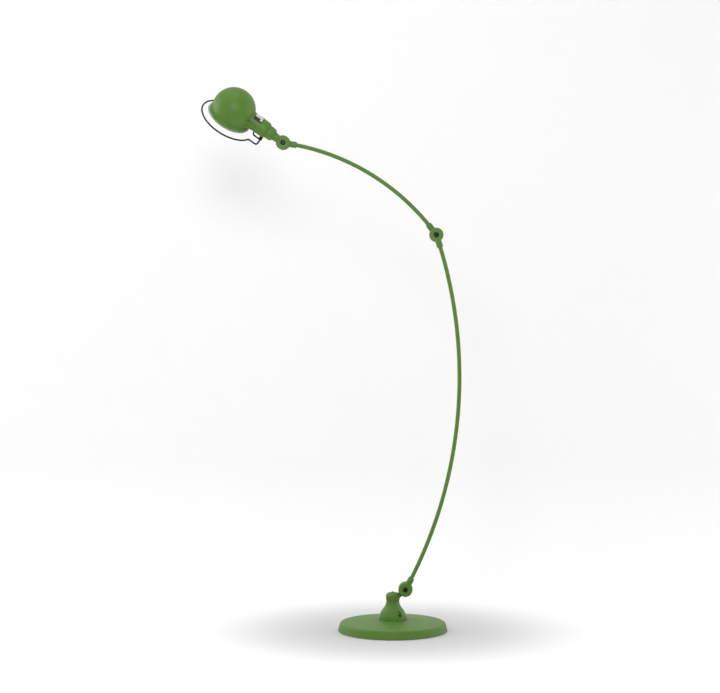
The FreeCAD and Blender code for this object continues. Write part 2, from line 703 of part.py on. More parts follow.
def make_neck():
    middle = NEAR * HUB_MIDDLE
    collar = COLLAR_RADIUS
    wire = outline(
        lengthways, (6, 0), ((6, NECK_START_RADIUS),), ((16, NECK_RADIUS),),
        ((COLLAR_START, NECK_END_RADIUS),),
        ((COLLAR_START + 2.1, 13.1), (COLLAR_START + 7.0, collar - 0.8)),
        ((COLLAR_END - 0.6, collar),), ((COLLAR_END, collar - 0.6),), ((COLLAR_END, 0),))
    turned_neck = turned(X_AXIS, wire)
    turned_neck.translate(V(0, middle, 0))
    body = turned_neck.cut(other_half_room(NEAR)).fuse(hub_disc(NEAR))
    axis_point = V(0, middle, 0)
    body = body.cut(hub_hollows(NEAR, SWIVEL_TUBE_START + 1))
    socket = rod(SWIVEL_TUBE_RADIUS + RUNNING, axis_point + X_AXIS * SWIVEL_TUBE_START,
                 axis_point + X_AXIS * (COLLAR_END + 1))
    body = body.cut(socket)
    piece("head_neck", swing(body.removeSplitter(), head_centre, NECK_ANGLE))

    start = X_AXIS * (SWIVEL_TUBE_START + SLIP)
    end = X_AXIS * SWIVEL_TUBE_END
    head_piece("swivel_tube", sleeve(SWIVEL_TUBE_RADIUS, SWIVEL_TUBE_BORE, start, end))
    body_start = COLLAR_END + HEAD_SEAM
    nut_start = body_start + BODY_REAR_WALL + 0.05
    nut = hexagon(SWIVEL_NUT_ACROSS, X_AXIS * nut_start, X_AXIS, SWIVEL_NUT_DEPTH)
    thread = rod(SWIVEL_TUBE_RADIUS + RUNNING, X_AXIS * COLLAR_END, X_AXIS * SWIVEL_TUBE_END)
    head_piece("swivel_nut", nut.cut(thread))
    head_piece("swivel_washer", sleeve(collar - 1.2, SWIVEL_TUBE_RADIUS + 1,
                                       X_AXIS * COLLAR_END, X_AXIS * body_start))
    wires = []
    for side in (-1, 1):
        offset = V(0, middle, side * WIRE_OFFSET)
        wire = rod(WIRE_RADIUS, X_AXIS * 7.7 + offset, X_AXIS * (SWIVEL_TUBE_END - 1) + offset)
        wires.append(swing(wire, head_centre, NECK_ANGLE))
    piece("neck_wires", *wires)


def shade_centre():
    return V(SHADE_DISTANCE, 0, -SHADE_DROP)


def ring_sector(outer, inner, start, end, half_width, floor):
    """Curved plate on top of the lamp body."""
    ring = sleeve(outer, inner, X_AXIS * start, X_AXIS * end)
    return ring.common(box(V(start, -half_width, floor), V(end, half_width, outer + 1)))


def lug_side():
    """The two ridges and the web that grip the shade, on the near side of the body."""
    def slab(rise, low, high):
        front = SHADE_DISTANCE - 36
        corners = ((69, 15), (71, 18.4 + rise / 2), (89, 25.2 + rise), (front, 26.2 + rise), (front, 15))
        wire = Part.makePolygon([V(x, y, low) for x, y in corners + corners[:1]])
        return prism(wire, V(0, 0, high - low))
    upper = slab(1.6, 1.2, 4.4)
    web = slab(0, -7.4, 1.4)
    lower = slab(1.6, -10.4, -7.2)
    return upper.fuse([web, lower])


def mirrored(shape):
    return shape.mirror(ORIGIN, Y_AXIS)


def make_lamp_body():
    start = COLLAR_END + HEAD_SEAM
    front = SHADE_DISTANCE - 20
    inner = BODY_RADIUS - BODY_WALL
    wire = outline(
        lengthways, (start, 0), ((start, BODY_REAR_RADIUS),),
        ((start + 2.2, BODY_REAR_RADIUS + 2.2), (BODY_SHOULDER_END, BODY_RADIUS)),
        ((front, BODY_FRONT_RADIUS),), ((front, 0),))
    solid = turned(X_AXIS, wire)
    lug = lug_side()
    solid = solid.fuse([lug, mirrored(lug)])
    solid = solid.cut(Part.makeSphere(SHADE_RADIUS + RUNNING, shade_centre()))
    hollow_start = start + BODY_REAR_WALL
    cavity = rod(inner - 0.6, X_AXIS * hollow_start, X_AXIS * (front + 20))
    cavity = cavity.fuse(rod(inner, X_AXIS * HOLDER_START, X_AXIS * (front + 20)))
    swivel_hole = rod(SWIVEL_TUBE_RADIUS + RUNNING, X_AXIS * (start - 1), X_AXIS * (hollow_start + 1))
    window = box(V(SWITCH_START - SLIP, -SWITCH_HALF_WIDTH - SLIP, 9.4),
                 V(SWITCH_END + SLIP, SWITCH_HALF_WIDTH + SLIP, 30))
    for cutter in (cavity, swivel_hole, window, clip_screw_rod(SLIP)):
        solid = solid.cut(cutter)
    ahead = box(V(front - 12, -60, -60), V(front + 30, 60, 60))
    solid = solid.cut(ahead)
    for shank in shade_screw_shanks(SLIP):
        solid = solid.cut(shank)
    head_piece("lamp_body", solid.removeSplitter())


def shade_screw_shanks(clearance):
    """Screws from inside the shade into the lugs, or the holes for them."""
    shanks = []
    for direction in shade_screw_directions():
        inner = shade_centre() + direction * (SHADE_RADIUS - 2 * SHADE_WALL)
        outer = shade_centre() + direction * (SHADE_RADIUS + 5.0 + clearance)
        shanks.append(rod(1.5 + clearance, inner, outer))
    return shanks


def shade_screw_directions():
    for side in (-1, 1):
        yield V(-43.4, side * 22.5, 1.4).normalize()


def make_shade():
    outer, wall = SHADE_RADIUS, SHADE_WALL
    inner = outer - wall
    lip_outer = math.sqrt(outer ** 2 - LIP_START ** 2)
    lip_inner = math.sqrt(inner ** 2 - LIP_START ** 2)
    half = math.sqrt(0.5)
    bowl = turned(Z_AXIS, outline(
        upright, (0, outer), ((outer * half, outer * half), (lip_outer, -LIP_START)),
        ((LIP_RADIUS, -LIP_DEPTH),), ((LIP_RADIUS - wall, -LIP_DEPTH),), ((lip_inner, -LIP_START),),
        ((inner * half, inner * half), (0, inner)), ((0, outer),)))
    bead = Part.makeTorus(LIP_RADIUS, BEAD_RADIUS, V(0, 0, -LIP_DEPTH), Z_AXIS)
    bowl = bowl.fuse(bead)
    bowl.translate(shade_centre())
    bowl = bowl.cut(rod(HOLDER_RADIUS + 2 * GAP, X_AXIS * 60, X_AXIS * 110))
    for shank in shade_screw_shanks(SLIP):
        bowl = bowl.cut(shank)
    head_piece("shade", bowl.removeSplitter())

    screws = []
    head_depth = 1.9
    for direction, shank in zip(shade_screw_directions(), shade_screw_shanks(0)):
        seat = shade_centre() + direction * (SHADE_RADIUS - SHADE_WALL - GAP)
        head = rod(2.8, seat - direction * head_depth, seat)
        slot = hexagon(2.0, seat - direction * 0.9, direction * -1, 3)
        screws.append(head.fuse(shank).cut(slot))
    head_piece("shade_screws", *screws)


def make_lampholder():
    flange_end = HOLDER_START + 4
    sleeve_solid = rod(HOLDER_RADIUS, X_AXIS * flange_end, X_AXIS * HOLDER_END)
    flange = rod(BODY_RADIUS - BODY_WALL - SLIP, X_AXIS * HOLDER_START, X_AXIS * flange_end)
    rim = rod(HOLDER_RADIUS, X_AXIS * (flange_end - 1), X_AXIS * (flange_end + 1))
    holder = sleeve_solid.fuse([flange, rim])
    holder = holder.cut(rod(HOLDER_BORE, X_AXIS * 84, X_AXIS * (HOLDER_END + 1)))
    holder = holder.cut(rod(8.6, X_AXIS * (HOLDER_START - 1), X_AXIS * 78))
    for side in (-1, 1):
        holder = holder.cut(rod(1.5, V(77, side * 3, 0), V(85, side * 3, 0)))
    head_piece("lampholder", holder)
    contact = sleeve(HOLDER_BORE - RUNNING, BULB_CAP_RADIUS + 0.1, X_AXIS * 85.5, X_AXIS * 108)
    button = rod(1.8, X_AXIS * 84, X_AXIS * 86.6)
    head_piece("holder_contacts", contact, button)

    cap_start = 88.0
    cap_end = HOLDER_END + 1.5
    cap = rod(BULB_CAP_RADIUS, X_AXIS * cap_start, X_AXIS * cap_end)
    tip = rod(2.2, X_AXIS * (cap_start - 1.3), X_AXIS * cap_start)
    hollow = rod(BULB_CAP_RADIUS - 0.8, X_AXIS * (cap_start + 2), X_AXIS * (cap_end + 1))
    bulb_cap = cap.fuse(tip).cut(hollow)
    head_piece("bulb_cap", bulb_cap)
    glass_wire = bulb_outline(BULB_RADIUS, BULB_CAP_RADIUS - 1.0, GLASS_WALL, cap_end - 4)
    head_piece("bulb_glass", turned(X_AXIS, glass_wire))


def bulb_outline(radius, neck, wall, start):
    """Wall of a golf-ball bulb: a sphere with a short flared neck."""
    flare = 40.0
    turn = math.radians(180 - flare)
    sphere_point = (BULB_DISTANCE + radius * math.cos(turn), radius * math.sin(turn))
    inner = radius - wall
    inner_point = (BULB_DISTANCE + inner * math.cos(turn), inner * math.sin(turn))
    neck_end = start + 5
    half = math.sqrt(0.5)
    return outline(
        lengthways, (start, neck), ((neck_end, neck),), (sphere_point,),
        ((BULB_DISTANCE + radius * half * half, radius * math.sqrt(1 - half ** 4)),
         (BULB_DISTANCE + radius, 0)),
        ((BULB_DISTANCE + inner, 0),),
        ((BULB_DISTANCE + inner * half * half, inner * math.sqrt(1 - half ** 4)), inner_point),
        ((neck_end, neck - wall),), ((start, neck - wall),))


def rocker_plan(clearance_along, clearance_across, low, high):
    """T-shaped plan of the rocker: a band with two wings at the joint end."""
    band = box(
        V(SWITCH_START + 0.9 - clearance_along, -ROCKER_HALF_WIDTH - clearance_across, low),
        V(SWITCH_END - 0.9 + clearance_along, ROCKER_HALF_WIDTH + clearance_across, high))
    wing_end = SWITCH_START + 5.4
    wings = box(V(SWITCH_START + 0.9 - clearance_along, -ROCKER_WING - clearance_across, low),
                V(wing_end + clearance_along, ROCKER_WING + clearance_across, high))
    return band.fuse(wings).removeSplitter()


def make_switch():
    crest = BODY_RADIUS + 0.4
    housing = ring_sector(crest, SWITCH_FLOOR, SWITCH_START, SWITCH_END, SWITCH_HALF_WIDTH, 9.5)
    room = sleeve(crest + 3, SWITCH_FLOOR + 1.0, X_AXIS * (SWITCH_START - 1), X_AXIS * (SWITCH_END + 1))
    pocket = room.common(rocker_plan(0.6, 0.4, 8, 40))
    pivot = V((SWITCH_START + SWITCH_END) / 2, 0, SWITCH_FLOOR + 2.9)
    pin_half = ROCKER_HALF_WIDTH + 1.6
    pin_hole = rod(0.9 + RUNNING, pivot - Y_AXIS * (pin_half + SLIP), pivot + Y_AXIS * (pin_half + SLIP))
    head_piece("switch_housing", housing.cut(pocket).cut(pin_hole))
    shell = sleeve(crest + 1.0, SWITCH_FLOOR + 2.9, X_AXIS * 50, X_AXIS * 100)
    rocker = shell.common(rocker_plan(0, 0, 8, 40))
    pin = rod(0.9, pivot - Y_AXIS * pin_half, pivot + Y_AXIS * pin_half)
    rocker = rocker.fuse(pin)
    rocker.rotate(pivot, Y_AXIS, ROCKER_TIP)
    head_piece("switch_rocker", rocker.removeSplitter())
    return pivot


def clip_screw_rod(clearance):
    middle = GUARD_HEEL + CLIP_DEPTH / 2
    return rod(1.4 + clearance, V(middle, 0, -14.4), V(middle, 0, -CLIP_DROP - 2.6))


def guard_edges():
    """Centreline of the guard: clip, heel, leg, big ring, and back on the other side."""
    bend = 4.5
    nip = 3.5
    plane = -GUARD_DROP
    heel_x = WIRE_HEEL
    legs = GUARD_LEGS
    centre = GUARD_DISTANCE
    nip_x = centre - math.sqrt((GUARD_RADIUS + nip) ** 2 - (legs + nip) ** 2)
    nip_centre = V(nip_x, legs + nip, plane)
    ring_centre = V(centre, 0, plane)
    to_ring = (ring_centre - nip_centre).normalize()
    joins_ring = nip_centre + to_ring * nip
    leaves_leg = V(nip_x, legs, plane)
    between = (leaves_leg + joins_ring) * 0.5 - nip_centre
    nip_middle = nip_centre + between.normalize() * nip
    clip_end = V(heel_x, WIRE_END, -CLIP_DROP)
    heel = V(heel_x, legs, plane)
    start, middle, end = rounded_corner(clip_end, heel, leaves_leg, bend)
    side = [
        Part.makeLine(clip_end, start),
        Part.Arc(start, middle, end).toShape(),
        Part.makeLine(end, leaves_leg),
        Part.Arc(leaves_leg, nip_middle, joins_ring).toShape(),
    ]
    far_point = V(centre + GUARD_RADIUS, 0, plane)
    other = V(joins_ring.x, -joins_ring.y, joins_ring.z)
    ring = [Part.Arc(joins_ring, far_point, other).toShape()]
    back = [Part.Arc(other, V(nip_middle.x, -nip_middle.y, plane), V(nip_x, -legs, plane)).toShape(),
            Part.makeLine(V(nip_x, -legs, plane), V(end.x, -end.y, end.z)),
            Part.Arc(V(end.x, -end.y, end.z), V(middle.x, -middle.y, middle.z),
                     V(start.x, -start.y, start.z)).toShape(),
            Part.makeLine(V(start.x, -start.y, start.z), V(clip_end.x, -clip_end.y, clip_end.z))]
    return side + ring + back


def make_guard():
    wire = swept(guard_edges(), GUARD_WIRE)
    head_piece("wire_guard", wire)
    clip = box(V(CLIP_REAR, -CLIP_WIDTH / 2, -CLIP_DROP - CLIP_COVER),
               V(CLIP_FRONT, CLIP_WIDTH / 2, -CLIP_TOP))
    start = COLLAR_END + HEAD_SEAM
    seat = turned(X_AXIS, outline(
        lengthways, (start - 8, 0), ((start - 8, BODY_REAR_RADIUS),), ((start, BODY_REAR_RADIUS + SLIP),),
        ((start + 2.2, BODY_REAR_RADIUS + 2.2 + SLIP), (BODY_SHOULDER_END, BODY_RADIUS + SLIP)),
        ((BODY_SHOULDER_END + 10, BODY_RADIUS + SLIP),), ((BODY_SHOULDER_END + 10, 0),)))
    clip = clip.cut(seat).cut(clip_screw_rod(SLIP))
    for side in (-1, 1):
        wire_end = V(WIRE_HEEL, side * WIRE_END, -CLIP_DROP)
        heel = V(WIRE_HEEL, side * GUARD_LEGS, -GUARD_DROP)
        clip = clip.cut(rod(GUARD_WIRE + RUNNING, wire_end, heel))
    head_piece("guard_clip", clip.removeSplitter())
    head_piece("clip_screw", clip_screw_rod(0))


def make_head_wires():
    wires = []
    for side in (-1, 1):
        start = V(SWIVEL_TUBE_END + 2, side * 1.6, 0)
        points = [start, V(65, side * 1.6, 0), V(72, side * 3, 0), V(83, side * 3, 0)]
        wires.append(bent_wire(points, 6.0, WIRE_RADIUS))
    head_piece("head_wires", *wires)


# ---------------------------------------------------------------- all of it
make_base()
make_bell()
make_spindle()
make_turret()
make_joints()
make_arm("lower", lower_arm)
make_arm("upper", upper_arm)
make_neck()
make_lamp_body()
make_shade()
make_lampholder()
make_switch()
make_guard()
make_head_wires()

os.makedirs("parts", exist_ok=True)
for name, shape in pieces.items():
    shape.exportStep(f"parts/{name}.step")
    print(f"{name}: {len(shape.Solids)} solid(s), valid {shape.isValid()}, {shape.Volume / 1000:.2f} cm3")
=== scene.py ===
"""Finishes and studio for the adjustable arm floor lamp."""

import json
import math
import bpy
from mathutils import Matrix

bl_info = {
    "name": "Arm Floor Lamp Finishes",
    "version": (1, 0, 0),
    "blender": (4, 5, 0),
    "location": "3D View > Sidebar > Floor Lamp",
    "description": "Finishes the lamp's frame and sets up a plain studio",
    "category": "Object",
}

import bmesh
import bpy
from bpy.props import FloatProperty, FloatVectorProperty, IntProperty, PointerProperty
from bpy.types import Operator, Panel, PropertyGroup
from mathutils import Vector

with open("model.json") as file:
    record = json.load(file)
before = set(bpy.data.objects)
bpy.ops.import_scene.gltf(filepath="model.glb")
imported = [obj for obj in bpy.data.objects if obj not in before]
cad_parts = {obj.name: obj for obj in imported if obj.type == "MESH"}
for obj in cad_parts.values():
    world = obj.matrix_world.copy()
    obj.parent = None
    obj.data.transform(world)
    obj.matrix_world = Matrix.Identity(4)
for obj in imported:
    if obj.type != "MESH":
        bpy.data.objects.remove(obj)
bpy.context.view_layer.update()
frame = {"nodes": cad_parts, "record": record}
SLOT_OF_NODE = {row["node"]: row["material_slot"] for row in frame["record"]["subparts"]}
JOINTS = {joint["name"]: joint for joint in frame["record"]["behaviour"]["joints"]}
# The head: where it swivels, the axis it points along, and the way up across that axis.
HEAD_ORIGIN = Vector(JOINTS["head_swivel"]["pos_m"])
HEAD_AXIS = Vector(JOINTS["head_swivel"]["axis"]).normalized()
HEAD_UP = HEAD_AXIS.cross(-Vector(JOINTS["switch"]["axis"])).normalized()
# Middle of the shade's ball, from the head's swivel, in metres.
SHADE_ALONG = 0.133
SHADE_UP = -0.0045
SHADE_MIDDLE = HEAD_ORIGIN + HEAD_AXIS * SHADE_ALONG + HEAD_UP * SHADE_UP

# Nodes that wear another finish than their slot's.
PAINTED_OVER = {"shade_screws": "green_paint"}

# Refraction of paint, plastic and glass.
COAT_IOR = 1.5
BLACK = (0, 0, 0)
WHITE = (1, 1, 1)
# Colour sockets of a Mix node: two in, one out.
MIX_FIRST, MIX_SECOND, MIX_RESULT = 6, 7, 2

# Height over which the floor's painted contact shadow fades from the backdrop's foot, in metres.
FLOOR_SKIN = 0.02
# Each light: its power setting, its share of that, its width, its place and its aim, in metres.
STUDIO_LIGHTS = {
    "key_light": ("key_light", 1.0, 0.4, (-0.19, -1.95, 1.45), (0, 0, 0.75)),
    "left_light": ("side_light", 1.0, 1.4, (-2.4, 0.35, 1.5), (0, 0, 0.7)),
    "right_light": ("side_light", 0.75, 1.4, (2.4, 0.35, 1.1), (0, 0, 0.4)),
    "top_light": ("top_light", 1.0, 1.6, (-0.3, -0.5, 3.0), (0, 0, 0.5)),
}
# Width of the camera's sensor, in millimetres.
SENSOR_WIDTH = 36


# ------------------------------------------------------------------ settings
class LampPaintSettings(PropertyGroup):
    """The powder coat on the visible metalwork."""

    colour: FloatVectorProperty(
        name="Colour", description="Colour of the powder coat", subtype="COLOR", size=3,
        default=(0.073, 0.166, 0.018), min=0, max=1)
    pale: FloatVectorProperty(
        name="Thin Coat", description="Colour where the coat is a little thinner", subtype="COLOR",
        size=3, default=(0.084, 0.183, 0.023), min=0, max=1)
    inside: FloatVectorProperty(
        name="Shade Inside", description="Colour of the reflecting coat inside the shade",
        subtype="COLOR", size=3, default=(0.78, 0.775, 0.75), min=0, max=1)
    roughness: FloatProperty(
        name="Roughness", description="Roughness of the powder coat", default=0.52,
        subtype="FACTOR", min=0, max=1)
    grain: FloatProperty(
        name="Peel Size", description="Spacing of the coat's fine peel", default=0.0009,
        unit="LENGTH", min=0.0001, precision=5)
    peel: FloatProperty(
        name="Peel Depth", description="Depth of the coat's fine peel", default=0.000016,
        unit="LENGTH", min=0, precision=6)


class LampTrimSettings(PropertyGroup):
    """Black, silver and bare parts."""

    black: FloatVectorProperty(
        name="Black Metal", description="Coat of the guard and the bolts", subtype="COLOR", size=3,
        default=(0.005, 0.005, 0.006), min=0, max=1)
    silver: FloatVectorProperty(
        name="Silver Rocker", description="Lacquer of the switch's rocker", subtype="COLOR", size=3,
        default=(0.66, 0.67, 0.69), min=0, max=1)
    steel: FloatVectorProperty(
        name="Plated Steel", description="Zinc plated steel", subtype="COLOR", size=3,
        default=(0.56, 0.57, 0.585), min=0, max=1)
    opal: FloatVectorProperty(
        name="Opal Glass", description="Coated glass of the bulb", subtype="COLOR", size=3,
        default=(0.86, 0.86, 0.835), min=0, max=1)


class LampStageSettings(PropertyGroup):
    """Floor, backdrop, lights and camera."""

    floor_reach: FloatProperty(
        name="Floor Reach", description="Half the floor's width", default=9.0, unit="LENGTH", min=1)
    wall_gap: FloatProperty(
        name="Wall Gap", description="From the lamp's axis to the backdrop", default=0.8,
        unit="LENGTH", min=0.3)
    cove: FloatProperty(
        name="Cove Radius", description="Curve between floor and backdrop", default=0.3,
        unit="LENGTH", min=0.05)
    cove_steps: IntProperty(
        name="Cove Steps", description="Facets of the cove", default=24, min=4)
    white_share: FloatProperty(
        name="White Share", description="Share of plain white seen in the backdrop",
        default=0.25, subtype="FACTOR", min=0, max=1)
    world_light: FloatProperty(
        name="Room Light", description="Strength of the even light from all round", default=0.43,
        min=0)
    key_light: FloatProperty(
        name="Key Light", description="Power of the front light", default=19.0, unit="POWER", min=0)
    side_light: FloatProperty(
        name="Side Lights", description="Power of each of the two lights at the back corners",
        default=26.0, unit="POWER", min=0)
    top_light: FloatProperty(
        name="Top Light", description="Power of the wide light overhead", default=17.0,
        unit="POWER", min=0)
    # Painted shadow: how dark the shadow painted on the floor round the foot is.
    contact_shade: FloatProperty(
        name="Contact Shade", description="How much the floor darkens beside the foot",
        default=0.36, subtype="FACTOR", min=0, max=1)
    shade_start: FloatProperty(
        name="Shade Start", description="Where the floor's contact shade is deepest", default=0.1,
        unit="LENGTH", min=0)
    shade_end: FloatProperty(
        name="Shade End", description="Where the floor's contact shade ends", default=0.54,
        unit="LENGTH", min=0)
    camera_at: FloatVectorProperty(
        name="Camera Place", description="Where the camera stands", subtype="TRANSLATION", size=3,
        default=(0.0700, -4.5382, 0.8148), unit="LENGTH")
    camera_tilt: FloatProperty(
        name="Camera Tilt", description="Camera's turn up from straight down",
        default=math.radians(87.813), unit="ROTATION")
    camera_turn: FloatProperty(
        name="Camera Turn", description="Camera's turn about the upright axis",
        default=math.radians(1.816), unit="ROTATION")
    focal_length: FloatProperty(
        name="Focal Length", description="Lens of the camera in millimetres", default=101.245,
        min=10)


# ------------------------------------------------------------------ material maths
class Wire:
    """An output socket on which sums can be written."""

    def __init__(self, finish, socket):
        self.finish = finish
        self.socket = socket

    def maths(self, operation, first, second):
        inputs = {0: first, 1: second}
        return self.finish.add("ShaderNodeMath", {"operation": operation}, inputs)

    def __add__(self, other):
        return self.maths("ADD", self, other)

    def __rsub__(self, other):
        return self.maths("SUBTRACT", other, self)

    def __mul__(self, other):
        return self.maths("MULTIPLY", self, other)

    def above(self, edge):
        """1 over the edge, 0 under it."""
        return self.maths("GREATER_THAN", self, edge)

    def biggest(self, other):
        """The bigger of two values."""
        return self.maths("MAXIMUM", self, other)


class Finish:
    """One material, built from nodes. Values given by name are the same all over."""

    def __init__(self, name, **plain):
        self.material = bpy.data.materials.new(name)
        self.material.use_nodes = True
        self.tree = self.material.node_tree
        self.tree.nodes.clear()
        self.output = self.tree.nodes.new("ShaderNodeOutputMaterial")
        self.shader = self.tree.nodes.new("ShaderNodeBsdfPrincipled")
        self.tree.links.new(self.shader.outputs[0], self.output.inputs["Surface"])
        self.place = self.add("ShaderNodeTexCoord", {}, {}, "Object")
        for socket, value in plain.items():
            self.shader.inputs[socket.replace("_", " ")].default_value = value

    def add(self, kind, settings=None, inputs=None, output=0):
        """Adds a node: its settings first, then its sockets. Returns one of its outputs."""
        node = self.tree.nodes.new(kind)
        for setting, value in (settings or {}).items():
            setattr(node, setting, value)
        for socket, value in (inputs or {}).items():
            self.feed(node.inputs[socket], value)
        return Wire(self, node.outputs[output])

    def feed(self, socket, value):
        """Links a wire to an input, or sets a plain number, vector or colour on it."""
        if isinstance(value, Wire):
            self.tree.links.new(value.socket, socket)
        elif hasattr(socket.default_value, "__len__") and len(socket.default_value) == 4:
            socket.default_value = (*value, 1)
        else:
            socket.default_value = value

    def set(self, socket, value):
        """Feeds one input of the material's shader."""
        self.feed(self.shader.inputs[socket], value)

    def noise(self, size, detail, place=None):
        """Cloudy pattern, 0 to 1, with features about that many metres across."""
        inputs = {"Vector": place or self.place, "Scale": 1 / size, "Detail": detail}
        return self.add("ShaderNodeTexNoise", {}, inputs, "Fac")

    def ramp(self, value, low, high):
        """Black up to the low value, white from the high one, and greys between them."""
        grey = self.add("ShaderNodeValToRGB", {}, {"Fac": value}, "Color")
        ends = grey.socket.node.color_ramp.elements
        ends[0].position = low
        ends[1].position = high
        return grey

    def blend(self, share, first, second):
        """Colour between two colours."""
        inputs = {"Factor": share, MIX_FIRST: first, MIX_SECOND: second}
        return self.add("ShaderNodeMix", {"data_type": "RGBA"}, inputs, MIX_RESULT)

    def mix(self, share, first, second):
        """Shader between two shaders."""
        return self.add("ShaderNodeMixShader", {}, {0: share, 1: first, 2: second})

    def vector(self, operation, first, second, output=0):
        """A sum on two vectors."""
        settings = {"operation": operation}
        return self.add("ShaderNodeVectorMath", settings, {0: first, 1: second}, output)

    def stretched(self, factors):
        """Object place, stretched so that patterns run long along the small factors."""
        return self.vector("MULTIPLY", self.place, factors)

    def roughen(self, pattern, smoothest, spread):
        """Roughness that follows a pattern, up from the smoothest value."""
        self.set("Roughness", pattern * spread + smoothest)

    def bump(self, height, depth):
        """Raises the skin by a pattern, by that many metres where the pattern is 1."""
        self.set("Normal", self.add("ShaderNodeBump", {}, {"Height": height, "Distance": depth}))


def scaled(colour, factor):
    """The same colour, made darker or lighter."""
    return [tone * factor for tone in colour]


def powder_coat(name, inside=None):
    """Satin powder coat: fine peel, faint clouding and uneven gloss.

    With a middle given as inside, faces turned towards it wear the reflecting lining.
    """
    paint = bpy.context.scene.lamp_paint
    finish = Finish(name, IOR=COAT_IOR, Specular_IOR_Level=0.32)
    cloud = finish.ramp(finish.noise(size=0.045, detail=3), low=0.35, high=0.7)
    speck = finish.ramp(finish.noise(size=paint.grain * 0.7, detail=1), low=0.4, high=0.75)
    cloud_share = 0.6
    share = cloud * cloud_share + speck * (1 - cloud_share)
    colour = finish.blend(share, paint.colour, paint.pale)
    if inside is not None:
        outward = finish.vector("SUBTRACT", finish.place, inside)
        facing = finish.add("ShaderNodeTexCoord", {}, {}, "Normal")
        inner = 1 - finish.vector("DOT_PRODUCT", outward, facing, "Value").above(0)
        lining = finish.blend(cloud, paint.inside, scaled(paint.inside, 0.94))
        colour = finish.blend(inner, colour, lining)
    finish.set("Base Color", colour)
    dull_patches, dull_specks = 0.09, 0.08
    patches = finish.noise(size=0.011, detail=3)
    gloss = patches * dull_patches + finish.noise(size=paint.grain, detail=0) * dull_specks
    finish.set("Roughness", gloss + (paint.roughness - (dull_patches + dull_specks) / 2))
    wave_size, wave_height = paint.grain * 3.2, 0.8
    waves = finish.noise(size=wave_size, detail=1)
    peel = finish.noise(size=paint.grain, detail=2) + waves * wave_height
    finish.bump(peel, paint.peel)
    return finish.material


def black_coat(name):
    """Thin black coat on steel, worn a touch greyer on patches."""
    trim = bpy.context.scene.lamp_trim
    finish = Finish(name, IOR=COAT_IOR, Specular_IOR_Level=0.22)
    patches = finish.ramp(finish.noise(size=0.006, detail=3), low=0.4, high=0.72)
    finish.set("Base Color", finish.blend(patches, trim.black, scaled(trim.black, 1.9)))
    finish.roughen(finish.noise(size=0.003, detail=2), smoothest=0.3, spread=0.16)
    finish.bump(finish.noise(size=0.0005, detail=2), depth=0.000012)
    return finish.material


def plated(name):
    """Zinc plate, with fine turning marks."""
    trim = bpy.context.scene.lamp_trim
    finish = Finish(name, Metallic=1.0)
    marks = finish.noise(size=0.0006, detail=2, place=finish.stretched((1, 9, 1)))
    tone = finish.ramp(finish.noise(size=0.004, detail=3), low=0.3, high=0.8)
    finish.set("Base Color", finish.blend(tone, scaled(trim.steel, 0.82), trim.steel))
    finish.roughen(marks, smoothest=0.22, spread=0.18)
    finish.bump(marks, depth=0.000008)
    return finish.material


def bare_metal(name, colour, dark, smoothest, mark_size):
    """Bare brass or aluminium, a little tarnished in patches."""
    finish = Finish(name, Metallic=1.0)
    tarnish = finish.ramp(finish.noise(size=0.003, detail=4), low=0.42, high=0.75)
    finish.set("Base Color", finish.blend(tarnish, colour, dark))
    finish.roughen(finish.noise(size=mark_size * 4, detail=2), smoothest, spread=0.2)
    finish.bump(finish.noise(size=mark_size, detail=2), depth=0.000006)
    return finish.material


def soft_pad(name):
    """Rubber: matt, with a fine leathery skin whose low grooves are painted darker than its raised
    crowns, as painted shade.
    """
    finish = Finish(name)
    cells_in_metre = 900
    cells = finish.add(
        "ShaderNodeTexVoronoi", {}, {"Vector": finish.place, "Scale": cells_in_metre}, "Distance")
    # Painted shade: the colour follows the bump, dark in the low grooves and paler on the raised
    # crowns.
    painted_shade_groove, crown = (0.014, 0.014, 0.015), (0.034, 0.034, 0.034)
    finish.set("Base Color", finish.blend(cells, painted_shade_groove, crown))
    finish.roughen(cells, smoothest=0.68, spread=0.2)
    finish.bump(cells, depth=0.00012)
    return finish.material


def moulded(name, colour, smoothest, gloss=0.0):
    """Moulded plastic with a faint spark-eroded skin."""
    finish = Finish(name, IOR=COAT_IOR, Coat_Weight=gloss, Coat_Roughness=0.12)
    skin = finish.noise(size=0.0004, detail=2)
    flow = finish.ramp(finish.noise(size=0.009, detail=2), low=0.35, high=0.75)
    finish.set("Base Color", finish.blend(flow, colour, scaled(colour, 0.86)))
    finish.roughen(skin, smoothest, spread=0.1)
    finish.bump(skin, depth=0.000012)
    return finish.material


def lacquered(name):
    """Silver lacquer with fine metal flake."""
    trim = bpy.context.scene.lamp_trim
    finish = Finish(name, Metallic=0.55, Coat_Weight=0.6, Coat_Roughness=0.15)
    flakes_in_metre = 5200
    flake = finish.add(
        "ShaderNodeTexVoronoi", {}, {"Vector": finish.place, "Scale": flakes_in_metre}, "Color")
    bright = finish.ramp(flake, low=0.2, high=0.9)
    finish.set("Base Color", finish.blend(bright, scaled(trim.silver, 0.8), trim.silver))
    finish.roughen(finish.noise(size=0.0004, detail=1), smoothest=0.3, spread=0.12)
    finish.bump(finish.noise(size=0.0003, detail=1), depth=0.000005)
    return finish.material


def opal_glass(name):
    """Glass with a milky coat on its inner side."""
    trim = bpy.context.scene.lamp_trim
    finish = Finish(name, IOR=COAT_IOR, Coat_Weight=1.0, Coat_Roughness=0.04,
                    Subsurface_Weight=0.15, Subsurface_Scale=0.002)
    milk = finish.ramp(finish.noise(size=0.02, detail=2), low=0.3, high=0.8)
    finish.set("Base Color", finish.blend(milk, trim.opal, scaled(trim.opal, 0.95)))
    finish.roughen(finish.noise(size=0.006, detail=1), smoothest=0.28, spread=0.08)
    finish.bump(finish.noise(size=0.004, detail=1), depth=0.00001)
    return finish.material


